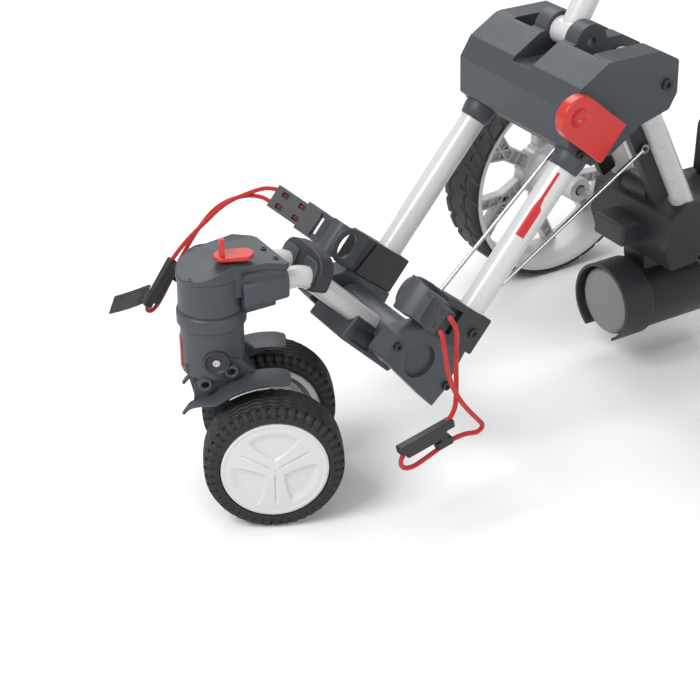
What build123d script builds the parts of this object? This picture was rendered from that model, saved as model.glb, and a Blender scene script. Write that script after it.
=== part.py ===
from build123d import *
import os
from math import cos, hypot, pi, radians, sin, tan

# Electric golf trolley. Millimetres, +Z up, +X to the trolley's left-hand side,
# front of the trolley towards -Y. The design is laid out with y = 0 at the rear axle
# and moved by ROW_SHIFT_Y when it is written, so that the origin is on the ground
# under the middle of the whole trolley.

os.makedirs("parts", exist_ok=True)

# ---------------------------------------------------------------- driving dimensions
ROW_SHIFT_Y = 255.891       # from the rear axle to the middle of the footprint

REAR_R = 150.0            # rear wheel radius
REAR_W = 76.0             # rear tyre width
REAR_X = 265.0            # rear wheel centre from the middle plane
FRONT_R = 78.0            # front wheel radius
FRONT_W = 52.0            # front tyre width
FRONT_X = 57.0            # front wheel centre from the yoke's middle plane
STEER = -25.4             # how far the front yoke is turned at rest, degrees
SWIVEL_Y = -661.0         # upright swivel axis of the front yoke
TRAIL = 61.5              # front axle behind the swivel axis

SIDE_X = 87.5             # side tubes
SIDE_R = 15.5
SIDE_FOOT = (-374.0, 200.0)    # where a side tube enters its clamp block (y, z)
SIDE_ANGLE = 50.95        # slope of the side tubes, degrees above horizontal

FORK_X = 22.5             # front fork tubes
FORK_R = 12.5
FORK_Z = 263.0            # height of their level stretch
FOLD = (-451.0, 156.0)    # axis of the front fold (y, z)
FORK_BEND_Y = FOLD[0] - (FORK_Z - FOLD[1])     # where they bend down at 45 degrees

LEG_X = 56.5              # rear legs
LEG_R = 14.5
LEG_PIVOT = (-143.0, 441.0)    # axis of the rear fold (y, z)
LEG_DIR = (0.465, -0.886)      # down the leg (y, z)

LATCH_PIVOT = (256.0, -4.0)     # along and out from the side tube's foot
LATCH_PIN_R = 4.0
MAST_PIVOT = (-186.0, 468.0)   # axis of the mast fold (y, z)
MAST_ANGLE = 62.0         # slope of the mast, degrees above horizontal
MAST_R = 17.0
MAST_LENGTH = 470.0

MOTOR_Z = 88.0            # motor axis, along Y, in the middle plane
MOTOR_R = 48.0
MOTOR_REAR = -58.0        # face between the motor and the gearbox (y)
MOTOR_FRONT = -86.0       # face between the motor and its end bell (y)
CASE_R = 57.0             # gearbox round the worm wheel
AXLE_R = 6.0
PIN_R = 6.0
FIT = 0.05                # radial running clearance of a turning pin
GAP = 0.5                 # side clearance between moving parts

HUB_IN, HUB_OUT = 66.0, 96.0   # cheeks of the lower cross member
RELEASE_X = 69.5          # rod that works the front fold's latch
RELEASE_R = 2.3
LINK_X = 60.0             # folding link
LINK_R = 2.4
LINK_UPPER = (-110.0, 327.0)   # its pivot on the +X rear leg (y, z)
LINK_LOWER = (-356.0, 172.0)   # its follower in the guide slot (y, z)
CORD_R = 2.7              # elastic cords

# ---------------------------------------------------------------- helpers
SIDE_DIR = (cos(radians(SIDE_ANGLE)), sin(radians(SIDE_ANGLE)))
SIDE_NORMAL = (-SIDE_DIR[1], SIDE_DIR[0])      # forward and up, square to the side tubes


def box(x0, x1, y0, y1, z0, z1):
    centre = Pos((x0 + x1) / 2, (y0 + y1) / 2, (z0 + z1) / 2)
    return centre * Box(abs(x1 - x0), abs(y1 - y0), abs(z1 - z0))


def rod(start, end, radius):
    start, end = Vector(*start), Vector(*end)
    axis = end - start
    return Plane(origin=(start + end) / 2, z_dir=axis) * Cylinder(radius, axis.length)


def rod_x(x0, x1, y, z, radius):
    return rod((x0, y, z), (x1, y, z), radius)


def rod_z(x, y, z0, z1, radius):
    return rod((x, y, z0), (x, y, z1), radius)


def prism_x(points, x0, x1):
    """A (y, z) outline pulled along X."""
    face = make_face(Polyline(*points, close=True))
    return extrude(Plane.YZ.offset(min(x0, x1)) * face, amount=abs(x1 - x0))


def prism_z(points, z0, z1):
    """An (x, y) outline pulled along Z."""
    face = make_face(Polyline(*points, close=True))
    return extrude(Plane.XY.offset(min(z0, z1)) * face, amount=abs(z1 - z0))


def soften(shape, radius, axis=None):
    """Round the edges along an axis, or all of them."""
    edges = shape.edges().filter_by(axis) if axis else shape.edges()
    return fillet(edges, radius)


def spun_x(profile, x, y, z):
    """A (x, r) outline spun about X and put at a point."""
    face = make_face(Polyline(*profile, close=True))
    return Pos(x, y, z) * revolve(face, Axis.X, 360)


def side_point(along, out):
    """(y, z) at a distance along the side tubes and out along their normal."""
    y = SIDE_FOOT[0] + along * SIDE_DIR[0] + out * SIDE_NORMAL[0]
    z = SIDE_FOOT[1] + along * SIDE_DIR[1] + out * SIDE_NORMAL[1]
    return y, z


def side_box(x0, x1, out0, out1, along0, along1):
    """A box square to the side tubes."""
    frame = Plane(origin=(0, *SIDE_FOOT), x_dir=(1, 0, 0), z_dir=(0, *SIDE_DIR))
    centre = Pos((x0 + x1) / 2, -(out0 + out1) / 2, (along0 + along1) / 2)
    return frame * centre * Box(abs(x1 - x0), out1 - out0, along1 - along0)


def leg_point(down, back=0.0):
    """(y, z) at a distance down a rear leg and back along its normal."""
    y = LEG_PIVOT[0] + down * LEG_DIR[0] - back * LEG_DIR[1]
    z = LEG_PIVOT[1] + down * LEG_DIR[1] + back * LEG_DIR[0]
    return y, z


def mast_point(up, back=0.0):
    """(y, z) at a distance up the mast and back along its normal."""
    dy, dz = cos(radians(MAST_ANGLE)), sin(radians(MAST_ANGLE))
    return MAST_PIVOT[0] + up * dy + back * dz, MAST_PIVOT[1] + up * dz - back * dy


def mast_frame(up):
    """A plane across the mast: local X is X, local Y is back and down, local Z is up the mast."""
    y, z = mast_point(up)
    dy, dz = cos(radians(MAST_ANGLE)), sin(radians(MAST_ANGLE))
    return Plane(origin=(0, y, z), x_dir=(1, 0, 0), z_dir=(0, dy, dz))


def mirrored(shape):
    return mirror(shape, about=Plane.YZ)


def save(name, shape):
    export_step(Pos(0, ROW_SHIFT_Y, 0) * shape, f"parts/{name}.step")


def save_pair(name, left, right=None):
    """Write a part on the +X side and its mirror image on the -X side."""
    save(f"{name}_left", left)
    save(f"{name}_right", mirrored(left) if right is None else right)


# ---------------------------------------------------------------- wheels
def front_tyre():
    half = FRONT_W / 2
    ring = [(-half + 5, 60), (half - 5, 60), (half, 63), (half, 72), (half - 7, FRONT_R - 0.8)]
    for x in (14, 5, -5, -14):
        ring += [(x + 1.6, FRONT_R), (x + 1.0, FRONT_R - 3), (x - 1.0, FRONT_R - 3), (x - 1.6, FRONT_R)]
    ring += [(-half + 7, FRONT_R - 0.8), (-half, 72), (-half, 63)]
    return spun_x(ring, 0, 0, 0)


def front_rim():
    half = FRONT_W / 2
    ring = [(-half + 5, 52), (-4, 50), (-4, 14), (-22, 14), (-22, 6.0 + FIT), (half - 4, 6.0 + FIT)]
    ring += [(half - 4, 16), (half - 2.5, 30), (half - 2.5, 48), (half + 0.5, 56), (half + 0.5, 59)]
    ring += [(half - 5, 60), (-half + 5, 60)]
    return spun_x(ring, 0, 0, 0)


def rear_tyre():
    half = REAR_W / 2
    ring = [(-half + 3, 141), (half - 3, 141), (half, 143.5), (half - 4, 148), (half - 12, REAR_R)]
    ring += [(9, REAR_R), (7, 147), (4, 147), (2, REAR_R), (-2, REAR_R), (-4, 147), (-7, 147)]
    ring += [(-9, REAR_R), (-half + 12, REAR_R), (-half + 4, 148), (-half, 143.5)]
    return spun_x(ring, 0, 0, 0)


def rear_rim():
    """White rim for the +X side: barrel, hub drum and six forked spokes, dished outwards."""
    half = REAR_W / 2
    barrel = [(-half, 141), (-half, 134), (-half + 4, 132), (10, 124), (16, 110), (22, 110)]
    barrel += [(24, 128), (half, 136), (half, 141)]
    body = spun_x(barrel, 0, 0, 0)
    drum = [(-83, 8), (-83, 18), (-40, 18), (-34, 30), (8, 34), (22, 34), (22, 8)]
    body += spun_x(drum, 0, 0, 0)
    spoke = Pos(16, 0, 0) * box(-6, 6, -8, 8, 30, 76)
    for turn in (-24, 24):
        arm = box(-6, 6, -6, 6, 0, 50)
        spoke += Pos(16, 0, 72) * Rot(turn, 0, 0) * arm
    for k in range(6):
        body += Rot(60 * k, 0, 0) * spoke
    bore = rod_x(-90, 60, 0, 0, AXLE_R + FIT)
    return body - bore


def front_wheel_place(side):
    """Front wheels: turned with the yoke about the swivel axis."""
    return Pos(0, SWIVEL_Y, 0) * Rot(0, 0, STEER) * Pos(side * FRONT_X, TRAIL, FRONT_R)


def front_wheels():
    for side, name in ((1, "left"), (-1, "right")):
        place = front_wheel_place(side)
        flip = Rot(0, 0, 0) if side > 0 else Rot(0, 0, 180)
        save(f"front_tyre_{name}", place * flip * front_tyre())
        save(f"front_rim_{name}", place * flip * front_rim())


def rear_wheels():
    for side, name in ((1, "left"), (-1, "right")):
        place = Pos(side * REAR_X, 0, REAR_R) * (Rot(0, 0, 0) if side > 0 else Rot(0, 0, 180))
        save(f"rear_tyre_{name}", place * rear_tyre())
        save(f"rear_rim_{name}", place * rear_rim())


# ---------------------------------------------------------------- front yoke
YOKE_TOP = 225.0
KINGPIN_R = 9.0
KINGPIN_HEAD_Z = 160.0
KINGPIN_TOP = 294.0
YOKE_PLACE = Pos(0, SWIVEL_Y, 0) * Rot(0, 0, STEER)


def front_yoke():
    """In the yoke's own frame: swivel axis at the origin, axle behind it at y = TRAIL."""
    neck = rod_z(0, 0, 168, YOKE_TOP, 35)
    web = prism_x([(-31, 180), (-22, 140), (22, 96), (TRAIL - 10, 58), (TRAIL + 14, 62),
                   (TRAIL + 17, 80), (TRAIL + 4, 108), (31, 180)], -22, 22)
    body = neck + web
    body -= rod_z(0, 0, 100, YOKE_TOP + 10, KINGPIN_R + FIT)
    body -= rod_z(0, 0, 100, KINGPIN_HEAD_Z + GAP, 14)
    ring = rod_z(0, 0, YOKE_TOP - 9, YOKE_TOP + 1, 28)
    body -= ring - rod_z(0, 0, YOKE_TOP - 10, YOKE_TOP + 2, 18)
    body -= rod_x(-40, 40, TRAIL, FRONT_R, AXLE_R)
    body -= box(27, 40, 0, 16, 178, 196)
    return body


def yoke_trim():
    """Red accent strip let into the front of the neck."""
    strip = rod_z(0, 0, 172, 206, 36.6) - rod_z(0, 0, 160, 230, 35)
    return strip & box(-9, 9, -50, 0, 150, 215)


def front_axle():
    reach = FRONT_X + FRONT_W / 2 - 3.5
    shaft = rod_x(-reach - 3, reach + 3, TRAIL, FRONT_R, AXLE_R)
    for side in (-1, 1):
        shaft += rod_x(side * reach, side * (reach + 3), TRAIL, FRONT_R, 10)
    return shaft


FENDER_R = 90.0


def fender():
    """Mudguard over the inner part of the +X front wheel."""
    arc = rod_x(24, 60, TRAIL, FRONT_R, FENDER_R + 3) - rod_x(20, 64, TRAIL, FRONT_R, FENDER_R)
    wedge = prism_x([(TRAIL, FRONT_R), (TRAIL - 150, FRONT_R + 80), (TRAIL - 150, 260), (TRAIL + 30, 260)],
                    20, 64)
    arc &= wedge
    plate = prism_x([(-24, 124), (-18, 158), (8, 167), (40, 167), (60, 163), (20, 148), (-4, 134)], 22, 27)
    bosses = rod_x(22, 38, -8, 150, 8) + rod_x(22, 38, 27, 158, 8)
    holes = rod_x(20, 40, -8, 150, 4) + rod_x(20, 40, 27, 158, 4)
    return arc + plate + bosses - holes


# ---------------------------------------------------------------- front head and fork
HEAD_PATH_R = 37.0


def head_shell():
    """Housing over the swivel: round drum in front, widening to the two fork tubes."""
    drum = rod_z(0, SWIVEL_Y, 242, 300, HEAD_PATH_R)
    plan = [(-34, SWIVEL_Y + 12), (-41, -610), (-41, -584), (41, -584), (41, -610), (34, SWIVEL_Y + 12)]
    tail = prism_z(plan, 252, 300)
    side_cut = prism_x([(-720, 300), (-660, 312), (-584, 287), (-560, 260), (-560, 330), (-720, 330)], -60, 60)
    body = drum + tail
    body -= side_cut
    block = box(-24, 24, -628, -590, 236, 256)
    body += block
    for side in (-1, 1):
        body -= rod((side * FORK_X, -640, FORK_Z), (side * FORK_X, -560, FORK_Z), FORK_R)
    body -= rod_z(0, SWIVEL_Y, 230, KINGPIN_TOP, KINGPIN_R)
    body -= rod_z(*LEVER_AT, LEVER_Z - 11, LEVER_Z + 5, LEVER_STUB_R + FIT)
    body -= rod_z(LOCK_X, SWIVEL_Y + LOCK_Y, 230, 310, 3 + FIT)
    body += rod_z(0, SWIVEL_Y, YOKE_TOP + GAP, 242.01, 38.5) - rod_z(0, SWIVEL_Y, 220, 250, KINGPIN_R) \
        - rod_z(LOCK_X, SWIVEL_Y + LOCK_Y, 220, 250, 3 + FIT)
    return body


LOCK_X, LOCK_Y = 0.0, 23.0
LEVER_AT = (17.0, -640.0)      # pivot of the red lever (x, y)
LEVER_Z = 300.3
LEVER_STUB_R = 3.0


def kingpin():
    pin = rod_z(0, SWIVEL_Y, KINGPIN_HEAD_Z - 3, KINGPIN_TOP, KINGPIN_R)
    return pin + rod_z(0, SWIVEL_Y, KINGPIN_HEAD_Z - 3, KINGPIN_HEAD_Z, 13)


def lock_pin():
    """Plunger in the head; at rest its tip stays above the yoke."""
    return rod_z(LOCK_X, SWIVEL_Y + LOCK_Y, YOKE_TOP + GAP, 296, 3)


def swivel_lever():
    """Red lever: oval base and an upright thumb paddle."""
    x, y = LEVER_AT
    base = Pos(0, 0, 2.5) * extrude(Plane.XY * SlotOverall(44, 24), amount=5)
    base = soften(base, 1.4)
    paddle = Pos(-15, 0, 13.5) * Rot(0, 90, 0) * extrude(Plane.XY * SlotOverall(26, 14), amount=5)
    lever = base + paddle + rod_z(0, 0, -10, 1, LEVER_STUB_R)
    return Pos(x, y, LEVER_Z) * Rot(0, 0, 70) * lever


def fork_tube(side):
    """Bent tube from the head down to the fold axis."""
    slope = (FORK_Z - FOLD[1])
    foot_y = FORK_BEND_Y + slope + 8
    path = FilletPolyline((side * FORK_X, -632, FORK_Z), (side * FORK_X, FORK_BEND_Y, FORK_Z),
                          (side * FORK_X, foot_y, FOLD[1] - 8), radius=38)
    start = Plane(origin=(side * FORK_X, -632, FORK_Z), z_dir=(0, 1, 0))
    return sweep(start * Circle(FORK_R), path=path)


def tube_clip():
    """Saddle that ties the two fork tubes together at their bend."""
    shell = Plane(origin=(0, -541, 261), x_dir=(1, 0, 0), z_dir=(0, 0.92, -0.39)) * Box(82, 44, 22)
    shell = fillet(shell.edges().filter_by_position(Axis.Z, 200, 300), 3)
    return shell


def fork_frame(x0, x1, down0, down1, out0, out1):
    """A box along the sloping stretch of the fork, measured from the fold axis."""
    frame = Plane(origin=(0, *FOLD), x_dir=(1, 0, 0), z_dir=(0, 1, -1))
    centre = Pos((x0 + x1) / 2, -(out0 + out1) / 2, (down0 + down1) / 2)
    return frame * centre * Box(abs(x1 - x0), out1 - out0, down1 - down0)


# ---------------------------------------------------------------- lower cross member
CARRIER_R = 28.0


def fork_carrier():
    """Turning middle of the cross member, with two channels for the fork tubes."""
    y, z = FOLD
    body = rod_x(-57, 57, y, z, CARRIER_R)
    body += soften(fork_frame(-37, 37, -62, 30, -34, -1), 3)
    for side in (-1, 1):
        foot = (side * FORK_X, y + 60, z - 60)
        head = (side * FORK_X, y - 80, z + 80)
        body -= rod(foot, head, FORK_R)
    body -= fork_frame(33, 40, -52, -16, -29, -9)
    return body - rod_x(-100, 100, y, z, PIN_R + FIT)


def release_path(start, end, radius):
    """A cylinder on the release rod's line, between two distances along the side tubes."""
    low = side_point(start, 38 - start / 7)
    high = side_point(end, 38 - end / 7)
    return rod((RELEASE_X, *low), (RELEASE_X, *high), radius)


def release_rod():
    return release_path(-60, 226, RELEASE_R)


def hub_end():
    """Fixed cheek of the cross member on the +X side, under the clamp block."""
    y, z = FOLD
    outline = [(y - 50, z + 19), (y + 18, z - 66), (y + 36, z - 50), side_point(-48, -21),
               side_point(-48, 52), (y - 27, z + 41)]
    body = soften(prism_x(outline, HUB_IN, HUB_OUT), 2, Axis.X)
    body -= rod_x(HUB_OUT - 5, HUB_OUT + 5, y, z, 21)
    body -= rod_x(HUB_IN - 5, HUB_OUT - 12, y, z, PIN_R)
    return body - release_path(-66, 20, RELEASE_R + FIT)


def link_guide():
    """Plate on the +X cheek with a curved slot for the folding link's follower."""
    route = Plane.YZ.offset(HUB_IN - 3) * ThreePointArc(LINK_LOWER, (-389, 161.8), (-424, 164))
    plate = extrude(SlotArc(route, 24), amount=3)
    slot = extrude(SlotArc(route, 7), amount=3)
    return plate - slot


def clamp_block():
    """Clamp round the foot of the +X side tube."""
    body = soften(side_box(68, 105, -22, 52, -48, -2), 1.5)
    body -= side_box(97, 110, 24, 46, -40, -10)
    return body - side_rod(SIDE_X, 0, -40, 20, SIDE_R) - release_path(-66, 20, RELEASE_R + 1)


def side_rod(x, out, along0, along1, radius):
    """A cylinder along the side tubes."""
    start, end = side_point(along0, out), side_point(along1, out)
    return rod((x, *start), (x, *end), radius)


def side_tube():
    return side_rod(SIDE_X, 0, -40, 236, SIDE_R) - side_rod(SIDE_X, 0, -45, 240, SIDE_R - 2)


def hinge_pins():
    """Steel pins of the front fold, the two rear legs and the mast."""
    pins = [rod_x(-HUB_OUT + 12, HUB_OUT - 12, *FOLD, PIN_R)]
    for side in (-1, 1):
        pins.append(rod_x(side * 37, side * 102, *LEG_PIVOT, PIN_R))
    pins.append(rod_x(-36, 36, *MAST_PIVOT, PIN_R))
    return Compound(children=pins)


def bolt_x(x, y, z, radius, height):
    """A socket-head bolt head with its axis along X, facing +X."""
    head = rod_x(x, x + height, y, z, radius)
    return head - rod_x(x + height * 0.4, x + height + 1, y, z, radius * 0.5)


def frame_bolts():
    """Bolt heads of the cross member, clamp blocks and upper hub, both sides."""
    y, z = FOLD
    heads = [bolt_x(HUB_OUT, y + 37, z - 44, 5, 4), bolt_x(HUB_OUT, y - 30, z + 28, 5, 4),
             bolt_x(105, *side_point(-25, -6), 6, 3), bolt_x(106, *side_point(209, 8), 4.5, 4),
             bolt_x(106, -128, 428, 7, 4)]
    return Compound(children=heads + [mirrored(head) for head in heads])


# ---------------------------------------------------------------- bag arms and anchors
ARM_LINE = [(71.5, 52), (71.5, 78), (73.5, 85), (79, 90), (88, 91.5), (112, 85)]     # (x, out)
RAIL_LINE = [(110, 85.5), (124, 84.5), (146, 95)]
PLATE_LINE = [(124.5, 87), (186, 118)]
PLATE_ALONG = (-39.0, -9.0)


def side_plane(along):
    """Plane across the side tubes: local X is X, local Y is out along their normal."""
    down = (0, -SIDE_DIR[0], -SIDE_DIR[1])
    return Plane(origin=(0, *side_point(along, 0)), x_dir=(1, 0, 0), z_dir=down)


def strip(points, width, along0, along1):
    """A band that follows (x, out) points and reaches from along0 to along1."""
    upper, lower = [], []
    for i, (x, out) in enumerate(points):
        x0, out0 = points[max(i - 1, 0)]
        x1, out1 = points[min(i + 1, len(points) - 1)]
        scale = width / 2 / hypot(x1 - x0, out1 - out0)
        across, up = -(out1 - out0) * scale, (x1 - x0) * scale
        upper.append((x + across, out + up))
        lower.append((x - across, out - up))
    face = make_face(Polyline(*upper, *reversed(lower), close=True))
    return extrude(side_plane(along1) * face, amount=along1 - along0)


def bag_arm():
    """Curved cradle arm with an oval eye and two rails that hold the anchor plate."""
    body = strip(ARM_LINE, 6, -46, -2)
    for along in (-46, -9):
        body += strip(RAIL_LINE, 9, along, along + 7)
    eye = Plane(origin=(60, *side_point(-25, 73)), x_dir=(0, *SIDE_DIR), z_dir=(1, 0, 0))
    return body - extrude(eye * SlotOverall(28, 13), amount=24)


def anchor_plate():
    """Plate held between the rails, with four windows over the elastic cord."""
    body = strip(PLATE_LINE, 9, *PLATE_ALONG)
    (x0, out0), (x1, out1) = PLATE_LINE
    slope = (out1 - out0) / (x1 - x0)
    for x in (146, 170):
        out = out0 + slope * (x - x0) + 3
        for along in (-32, -16):
            body -= side_box(x - 5, x + 5, out, out + 12, along - 3.2, along + 3.2)
    return body


# ---------------------------------------------------------------- upper hub and mast
def upper_hub():
    """Casting that joins the side tubes, the rear legs and the mast."""
    bridge = [side_point(206, 26), side_point(206, -19), (-203, 366), (-182, 395), (-178, 452),
              (-214, 470), (-252, 446), (-266, 422)]
    cheek = [(-210, 352), (-160, 385), (-120, 396), (-110, 415), (-112, 455), (-140, 470), (-214, 470)]
    knuckle_y, knuckle_z = MAST_PIVOT
    body = soften(prism_x(bridge, -106, 106), 5, Axis.X)
    for x0, x1 in ((-106, -74), (-39.5, 39.5), (74, 106)):
        body += soften(prism_x(cheek, x0, x1), 5, Axis.X)
    body += rod_x(-39.5, 39.5, knuckle_y, knuckle_z, 22)
    slot = MAST_R + GAP
    body -= box(-slot, slot, -300, -100, knuckle_z - MAST_R - 10, 560)
    body -= rod_x(-104, 104, *LEG_PIVOT, PIN_R)
    body -= rod_x(-60, 60, knuckle_y, knuckle_z, PIN_R)
    for side in (-1, 1):
        body -= box(side * 39.5, side * 74, -212, -90, 340, 520)
        body -= side_rod(side * SIDE_X, 0, 200, 236, SIDE_R)
    body -= rod_x(97, 108, *side_point(*LATCH_PIVOT), LATCH_PIN_R + FIT)
    return body - release_path(180, 234, RELEASE_R + FIT)




def latch_lever():
    """Red thumb latch on the +X end of the upper hub."""
    outline = [side_point(*p) for p in ((214, 50), (214, -14), (266, -14), (266, 50))]
    body = prism_x(outline, 106.5, 122)
    body += rod_x(106.5, 122, *side_point(240, 50), 26)
    body = soften(body, 2.5) + rod_x(98, 108, *side_point(*LATCH_PIVOT), LATCH_PIN_R)
    return body - Pos(131, *side_point(240, 54)) * Sphere(15)


def mast_tube():
    """Hollow mast with a cross knuckle at its foot."""
    top = (0, *mast_point(MAST_LENGTH))
    body = rod((0, *mast_point(4)), top, MAST_R - 2)
    body += rod_x(-MAST_R, MAST_R, *MAST_PIVOT, MAST_R)
    body -= rod((0, *mast_point(26)), top, MAST_R - 4)
    return body - rod_x(-30, 30, *MAST_PIVOT, PIN_R + FIT)


def upper_bag_rest():
    """Collar on the mast with a curved rest for the top of the bag."""
    collar = Cylinder(25, 44) - Cylinder(MAST_R - 2, 60)
    arc = Pos(0, -150, 0) * (Cylinder(132, 38) - Cylinder(124, 60))
    sector = make_face(Polyline((0, -150), (-175, 30), (175, 30), close=True))
    rest = arc & extrude(Plane.XY.offset(-40) * sector, amount=80)
    return mast_frame(330) * (collar + (rest - Cylinder(20, 60)))


def handle_bar():
    """Bull-horn handle tube across the top of the mast."""
    points = [(-128, 34, 98), (-104, 8, 24), (104, 8, 24), (128, 34, 98)]
    path = FilletPolyline(*points, radius=26)
    start = Plane(origin=points[0], z_dir=Vector(*points[1]) - Vector(*points[0]))
    return mast_frame(MAST_LENGTH) * sweep(start * Circle(11), path=path)


DIAL_AT = (14.0, 4.0)       # on the pod's top face
BUTTON_AT = (-20.0, 8.0)
SOCKET_AT = (-20.0, -17.0)
SOCKET_R = 6.0
POD_TOP = 62.0


def control_pod():
    """Housing on the handle for the switch, speed dial and accessory socket."""
    body = soften(box(-42, 42, -30, 26, -5, POD_TOP), 8)
    body -= rod((-60, 8, 24), (60, 8, 24), 11)
    body -= rod_z(0, 0, -20, 0, MAST_R - 2)
    body -= rod_z(*DIAL_AT, POD_TOP - 6, POD_TOP + 1, 15)
    body -= rod_z(*BUTTON_AT, POD_TOP - 6, POD_TOP + 1, 5)
    body -= rod_z(*SOCKET_AT, POD_TOP - 25, POD_TOP + 1, SOCKET_R)
    return mast_frame(MAST_LENGTH) * body


def speed_dial():
    dial = rod_z(*DIAL_AT, POD_TOP - 5.7, POD_TOP + 8, 14)
    for k in range(12):
        dial -= Pos(*DIAL_AT, POD_TOP + 4) * Rot(0, 0, 30 * k) * Pos(14.4, 0, 0) * Cylinder(1.6, 10)
    return mast_frame(MAST_LENGTH) * dial


def power_button():
    return mast_frame(MAST_LENGTH) * rod_z(*BUTTON_AT, POD_TOP - 3.5, POD_TOP + 1.5, 4.9)


# ---------------------------------------------------------------- rear frame and drive
def rear_leg():
    """Tube from the upper hub down to the saddle, with a knuckle at the top."""
    body = rod((LEG_X, *leg_point(0)), (LEG_X, *leg_point(240)), LEG_R)
    body += rod_x(LEG_X - LEG_R - 1, LEG_X + LEG_R + 1, *LEG_PIVOT, LEG_R + 1)
    body -= rod((LEG_X, *leg_point(22)), (LEG_X, *leg_point(241)), LEG_R - 2)
    return body - rod_x(30, 80, *LEG_PIVOT, PIN_R + FIT)


def leg_box(x0, x1, back0, back1, down0, down1):
    """A box square to the rear legs."""
    frame = Plane(origin=(0, *LEG_PIVOT), x_dir=(1, 0, 0), z_dir=(0, *LEG_DIR))
    centre = Pos((x0 + x1) / 2, -(back0 + back1) / 2, (down0 + down1) / 2)
    return frame * centre * Box(abs(x1 - x0), abs(back1 - back0), down1 - down0)


def leg_channels():
    """Black bars in front of the legs; the +X one carries the link's pivot."""
    bar = soften(leg_box(46, 57, -35, -LEG_R + 1.5, 30, 206), 3, Axis.X)
    bar -= rod((LEG_X, *leg_point(0)), (LEG_X, *leg_point(240)), LEG_R)
    pivot = rod_x(56.5, LINK_X + 3.5, *LINK_UPPER, 2.5)
    return Compound(children=[bar + pivot, mirrored(bar)])


def fold_rod():
    """Link on the rear leg whose lower end follows the curved slot."""
    body = rod((LINK_X, *LINK_UPPER), (LINK_X, *LINK_LOWER), LINK_R)
    for place, radius in ((LINK_UPPER, 6), (LINK_LOWER, 5)):
        body += rod_x(LINK_X - 2, LINK_X + 2, *place, radius)
    body += rod_x(LINK_X, HUB_IN - 0.5, *LINK_LOWER, 2.5)
    return body - rod_x(50, 70, *LINK_UPPER, 2.5 + FIT)


def rear_body():
    """Saddle over the gearbox that carries the legs and the battery tray."""
    outline = [(-72, 186), (-66, 226), (-44, 244), (-8, 240), (40, 222), (86, 204), (196, 204),
               (196, 196), (84, 193), (62, 164), (4, 158), (-60, 154)]
    body = soften(prism_x(outline, -74, 74), 3, Axis.X)
    body += soften(box(-28, 28, -104, -60, 178, 207), 4)
    body += rod_x(-22, 22, -53, 243, 15)
    body -= rod_x(-20, 20, 0, REAR_R, CASE_R)
    body -= rod_x(-80, 80, 0, REAR_R, 20)
    for side in (-1, 1):
        body -= rod((side * LEG_X, *leg_point(180)), (side * LEG_X, *leg_point(240)), LEG_R)
    return body


def rod_motor(y0, y1, radius):
    """A cylinder on the motor's axis."""
    return rod((0, y0, MOTOR_Z), (0, y1, MOTOR_Z), radius)


def gearbox_case():
    """Case round the worm and wheel, in line with the motor."""
    body = rod_x(-20, 20, 0, REAR_R, CASE_R)
    body += rod_motor(MOTOR_REAR, 56, MOTOR_R)
    body -= rod_x(-12, 12, 0, REAR_R, CASE_R - 4)
    body -= rod_motor(MOTOR_REAR - 1, 40, 12)
    body -= rod_x(-30, 30, 0, REAR_R, AXLE_R + FIT)
    return body - rod_motor(30, 52, 5 + FIT)


def motor_can():
    """Round steel can, open in front, with the shaft's opening at the gearbox."""
    body = rod_motor(MOTOR_FRONT, MOTOR_REAR, MOTOR_R)
    body -= rod_motor(MOTOR_FRONT - 1, MOTOR_REAR - 3, MOTOR_R - 3)
    return body - rod_motor(MOTOR_REAR - 4, MOTOR_REAR + 1, 12)


def motor_end_bell():
    bell = rod_motor(MOTOR_FRONT - 13, MOTOR_FRONT, 46)
    rim = bell.edges().filter_by(GeomType.CIRCLE).sort_by(Axis.Y)[0]
    return fillet(rim, 8) - rod_motor(MOTOR_FRONT - 8, MOTOR_FRONT + 1, 5 + FIT)


def motor_collar():
    """Open band round the front of the motor."""
    start, end = MOTOR_FRONT - 20, MOTOR_FRONT + 24
    band = rod_motor(start, end, MOTOR_R + 4) - rod_motor(start - 5, end + 5, MOTOR_R)
    gap = box(-26, 26, start - 5, end + 5, 20, MOTOR_Z - 36)
    return band - gap


def worm_shaft():
    """Armature shaft with its rotor and worm."""
    rotor = rod_motor(MOTOR_FRONT + 4, MOTOR_REAR - 5, 36)
    return rod_motor(MOTOR_FRONT - 7, 51, 5) + rotor + rod_motor(-25, 25, 9)


def worm_wheel():
    """Bronze wheel on the axle, with shallow teeth and lightening holes."""
    wheel = rod_x(-6, 6, 0, REAR_R, 52)
    for k in range(40):
        wheel -= Pos(0, 0, REAR_R) * Rot(9 * k, 0, 0) * box(-7, 7, -1.4, 1.4, 49.5, 53)
    for k in range(5):
        wheel -= Pos(0, 0, REAR_R) * Rot(72 * k, 0, 0) * rod_x(-7, 7, 0, 30, 9)
    return wheel - rod_x(-8, 8, 0, REAR_R, AXLE_R)


def rear_axle():
    """Through axle with a retaining head at each end."""
    reach = REAR_X + 30
    shaft = rod_x(-reach, reach, 0, REAR_R, AXLE_R)
    for side in (-1, 1):
        shaft += rod_x(side * (reach - 4), side * reach, 0, REAR_R, 9)
    return shaft


def battery_pack():
    """Battery box with a carrying grip on top."""
    body = soften(box(-62, 62, 92, 192, 204.2, 282), 10, Axis.X)
    grip = soften(box(-34, 34, 120, 164, 280, 300), 4, Axis.Y)
    return body + grip - box(-24, 24, 110, 174, 282.5, 293)


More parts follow.
